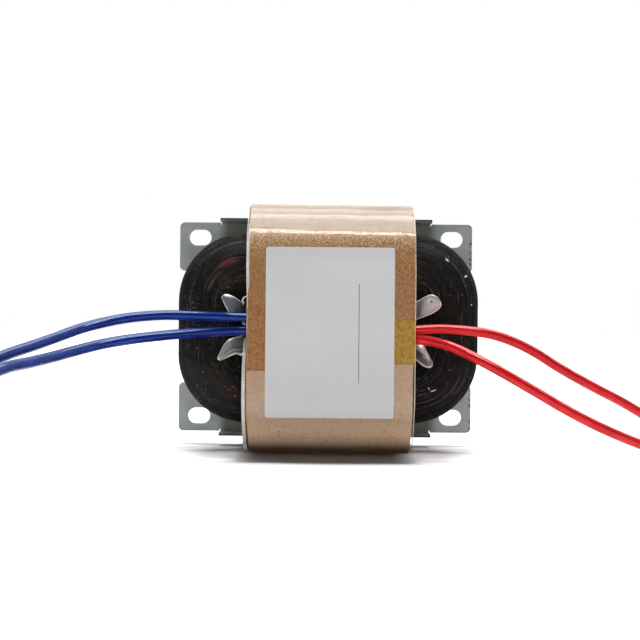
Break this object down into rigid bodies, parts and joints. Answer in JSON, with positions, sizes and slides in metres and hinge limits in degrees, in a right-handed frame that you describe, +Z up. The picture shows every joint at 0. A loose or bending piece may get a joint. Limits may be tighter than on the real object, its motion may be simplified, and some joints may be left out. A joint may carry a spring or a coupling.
{
  "type": "r-core transformer",
  "caption": "Small mains transformer: round-section core loop through two coils in one paper belt, on a slotted steel bracket, with two blue and two red flying leads.",
  "frame": {"origin": "middle of the bottom of the object without its leads, on the surface it stands on: the belt's glued overlap is at z = 0 and the bracket plate is centred on x = 0", "axes": "+X to the right along the core loop, +Y from the label to the bracket plate, +Z up through both coils"},
  "size_m": [0.2698, 0.1345, 0.0741],
  "materials": {
    "core_steel": "black impregnating varnish over wound electrical steel strip, semi-gloss, lamination edges showing",
    "bobbin_plastic": "natural white moulded plastic",
    "enamelled_copper": "enamelled copper wire, modelled as solid coils",
    "coil_tape": "amber polyester tape",
    "kraft_paper": "brown kraft insulating paper, speckled",
    "clear_film": "clear polyester film",
    "label_stock": "pale grey satin label, bare",
    "brown_tape": "brown tape under the film",
    "yellow_tape": "amber yellow polyester tape",
    "bracket_steel": "plated mild steel sheet, dull grey",
    "strap_steel": "plated steel strap, bent and twisted ends",
    "blue_pvc": "blue extruded insulation",
    "red_pvc": "red extruded insulation",
    "tinned_copper": "stripped and tinned strands"
  },
  "bodies": {
    "root": {"core": "core_steel", "upper_bobbin_front": "bobbin_plastic", "upper_bobbin_back": "bobbin_plastic", "lower_bobbin_front": "bobbin_plastic", "lower_bobbin_back": "bobbin_plastic", "upper_primary_winding": "enamelled_copper", "upper_secondary_winding": "enamelled_copper", "upper_coil_tape": "coil_tape", "lower_primary_winding": "enamelled_copper", "lower_secondary_winding": "enamelled_copper", "lower_coil_tape": "coil_tape", "paper_wrap": "kraft_paper", "film_wrap": "clear_film", "label": "label_stock", "blue_lead_tape": "brown_tape", "red_lead_tape": "yellow_tape", "bracket_plate": "bracket_steel", "left_strap": "strap_steel", "right_strap": "strap_steel", "blue_lead_anchor": "coil_tape", "red_lead_anchor": "coil_tape", "blue_lead_upper": "blue_pvc", "blue_lead_lower": "blue_pvc", "red_lead_upper": "red_pvc", "red_lead_lower": "red_pvc", "blue_tip_upper": "tinned_copper", "blue_tip_lower": "tinned_copper", "red_tip_upper": "tinned_copper", "red_tip_lower": "tinned_copper"}
  },
  "joints": []
}
